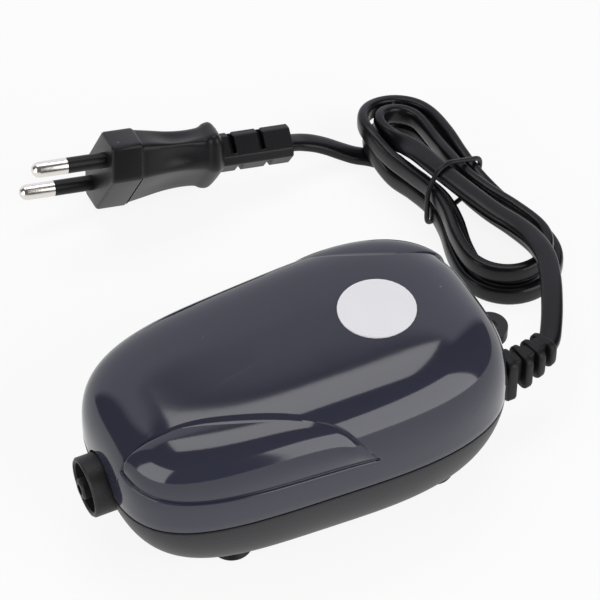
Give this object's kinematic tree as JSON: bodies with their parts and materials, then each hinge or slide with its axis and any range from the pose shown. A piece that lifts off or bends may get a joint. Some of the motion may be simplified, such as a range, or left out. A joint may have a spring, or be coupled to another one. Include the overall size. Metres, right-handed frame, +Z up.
{
  "type": "aquarium air pump",
  "caption": "Diaphragm air pump for an aquarium: rounded two-part case with leaf-shaped side panels, collared air outlet, hanging eye and a bundled mains cord with plug.",
  "frame": {"origin": "on the standing surface, at the middle of the case box without the cord", "axes": "+X from the air outlet towards the cord end, +Y towards the side where the cord and plug lie, +Z up"},
  "size_m": [0.1435, 0.1375, 0.0457],
  "materials": {
    "shell_gloss": "gloss",
    "base_satin": "satin",
    "label_white": "satin",
    "outlet_black": "matte",
    "rubber_black": "matte",
    "cord_black": "satin",
    "plug_black": "satin",
    "sleeve_black": "satin",
    "pin_metal": "polished",
    "steel": "satin",
    "lamination": "matte",
    "bobbin_nylon": "matte",
    "copper": "satin",
    "inner_plastic": "matte",
    "magnet": "satin",
    "inner_rubber": "matte",
    "felt": "matte",
    "tube_clear": "satin",
    "lead_red": "satin",
    "tie_wire": "satin"
  },
  "bodies": {
    "case": {"top_shell": "shell_gloss", "base": "base_satin", "label_disc": "label_white", "outlet_collar": "outlet_black", "outlet_spigot": "outlet_black", "feet": "rubber_black", "case_screws": "steel", "strain_relief": "cord_black", "cord_lead": "cord_black", "cord_hank": "cord_black", "cord_tail": "cord_black", "hank_tie": "tie_wire", "plug_body": "plug_black", "pin_sleeves": "sleeve_black", "plug_pins": "pin_metal", "core_stack": "lamination", "coil_bobbin": "bobbin_nylon", "coil_winding": "copper", "core_cradle": "inner_plastic", "pivot_pin": "steel", "pivot_bracket": "inner_plastic", "diaphragm": "inner_rubber", "diaphragm_ring": "inner_plastic", "valve_chamber": "inner_plastic", "valve_cover": "inner_plastic", "air_tube": "tube_clear", "filter_felt": "felt", "coil_leads": "lead_red"},
    "arm": {"swing_arm": "inner_plastic", "drive_magnet": "magnet", "diaphragm_screw": "steel"},
    "inlet_valve": {"inlet_flap": "inner_rubber"},
    "outlet_valve": {"outlet_flap": "inner_rubber"}
  },
  "joints": [
    {"name": "arm_swing", "type": "hinge", "parent": "case", "child": "arm", "pos_m": [-0.03265, 0, 0.0245], "axis": [0, 1, 0], "range_deg": [-2.5, 2.5], "stiffness_Nm_per_rad": 0.5, "deforming": ["diaphragm"]},
    {"name": "inlet_valve_hinge", "type": "hinge", "parent": "case", "child": "inlet_valve", "pos_m": [-0.01565, 0, 0.01415], "axis": [0, -1, 0], "range_deg": [0, 20], "stiffness_Nm_per_rad": 0.0002},
    {"name": "outlet_valve_hinge", "type": "hinge", "parent": "case", "child": "outlet_valve", "pos_m": [-0.01865, 0, 0.01065], "axis": [0, -1, 0], "range_deg": [0, 20], "stiffness_Nm_per_rad": 0.0002}
  ]
}
